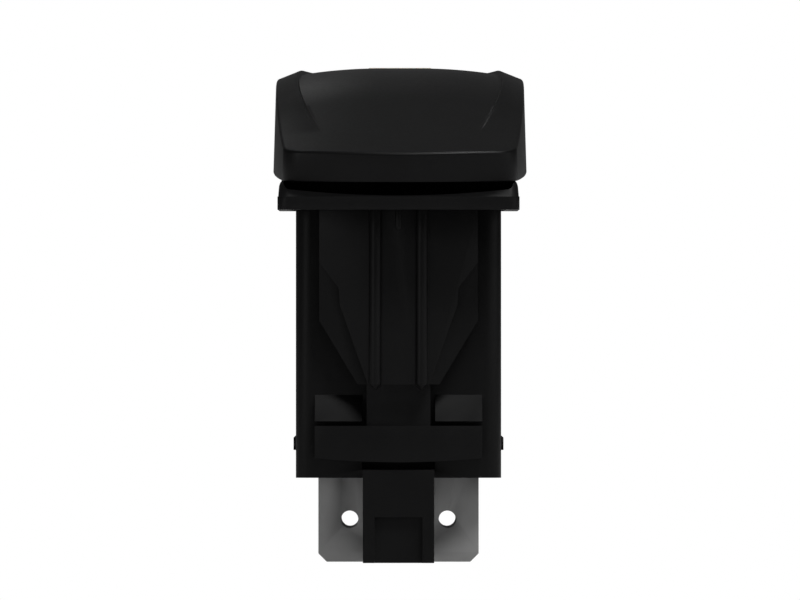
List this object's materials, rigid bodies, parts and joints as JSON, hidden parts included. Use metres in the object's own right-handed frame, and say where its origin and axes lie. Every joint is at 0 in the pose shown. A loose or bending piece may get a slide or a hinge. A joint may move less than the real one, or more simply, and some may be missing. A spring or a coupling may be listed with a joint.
{
  "type": "panel rocker switch",
  "caption": "Snap-in sealed panel rocker switch with a sculpted paddle, a lamp window in its far half, end arms that grip the panel and push-on tabs below.",
  "frame": {"origin": "centre of the panel cut-out, in the plane of the flange's underside, which is the panel's front face", "axes": "+Z out of the panel towards the user, +Y along the switch towards the paddle half with the lamp window, +X across the switch"},
  "size_m": [0.0255, 0.0508, 0.0498],
  "materials": {
    "frame_plastic": "fine satin moulded black",
    "housing_plastic": "satin moulded black, glass filled",
    "paddle_plastic": "smooth satin black",
    "lens_plastic": "frosted warm white lamp window",
    "inner_plastic": "plain moulded dark grey",
    "plunger_plastic": "natural low-friction plastic",
    "spring_steel": "bare spring wire",
    "copper": "stamped copper bar",
    "silver_tip": "silver contact button",
    "tinned_brass": "tin-plated stamped brass, dull silver",
    "board": "green circuit board",
    "led_resin": "clear resin lamp body",
    "resistor_body": "lacquered body with end caps",
    "tinned_wire": "tinned copper wire"
  },
  "bodies": {
    "body": {"bezel_frame": "frame_plastic", "housing": "housing_plastic", "lamp_board": "board", "lamp_led": "led_resin", "lamp_resistor": "resistor_body", "lamp_wire_left": "tinned_wire", "lamp_wire_right": "tinned_wire", "terminal_1": "tinned_brass", "terminal_2": "tinned_brass", "terminal_3": "tinned_brass", "terminal_4": "tinned_brass", "terminal_5": "tinned_brass", "terminal_6": "tinned_brass", "lamp_terminal_1": "tinned_brass", "lamp_terminal_2": "tinned_brass", "lamp_terminal_3": "tinned_brass", "lamp_terminal_4": "tinned_brass", "fixed_tip_1": "silver_tip", "fixed_tip_3": "silver_tip", "fixed_tip_4": "silver_tip", "fixed_tip_6": "silver_tip"},
    "rocker": {"rocker_cap": "paddle_plastic", "lens": "lens_plastic", "actuator": "inner_plastic", "plunger_spring_left": "spring_steel", "plunger_spring_right": "spring_steel"},
    "plunger_left": {"plunger_left": "plunger_plastic"},
    "plunger_right": {"plunger_right": "plunger_plastic"},
    "contact_left": {"moving_contact_left": "copper", "moving_tip_left_near": "silver_tip", "moving_tip_left_far": "silver_tip"},
    "contact_right": {"moving_contact_right": "copper", "moving_tip_right_near": "silver_tip", "moving_tip_right_far": "silver_tip"}
  },
  "joints": [
    {"name": "rocker_tilt", "type": "hinge", "parent": "body", "child": "rocker", "pos_m": [0, 0, 0.001], "axis": [-1, 0, 0], "range_deg": [0, 19.6]},
    {"name": "plunger_slide_left", "type": "slide", "parent": "rocker", "child": "plunger_left", "axis": [0, -0.1702, 0.9854], "range_m": [0, 0.0012], "stiffness_N_per_m": 800, "deforming": ["plunger_spring_left"]},
    {"name": "plunger_slide_right", "type": "slide", "parent": "rocker", "child": "plunger_right", "axis": [0, -0.1702, 0.9854], "range_m": [0, 0.0012], "stiffness_N_per_m": 800, "deforming": ["plunger_spring_right"]},
    {"name": "contact_rock_left", "type": "hinge", "parent": "body", "child": "contact_left", "pos_m": [-0.0049, 0, -0.01685], "axis": [1, 0, 0], "range_deg": [0, 16]},
    {"name": "contact_rock_right", "type": "hinge", "parent": "body", "child": "contact_right", "pos_m": [0.0049, 0, -0.01685], "axis": [1, 0, 0], "range_deg": [0, 16]}
  ],
  "couplings": [
    {"joint": "contact_rock_left", "follows": "rocker_tilt", "ratio": 0.8163},
    {"joint": "contact_rock_right", "follows": "rocker_tilt", "ratio": 0.8163}
  ]
}
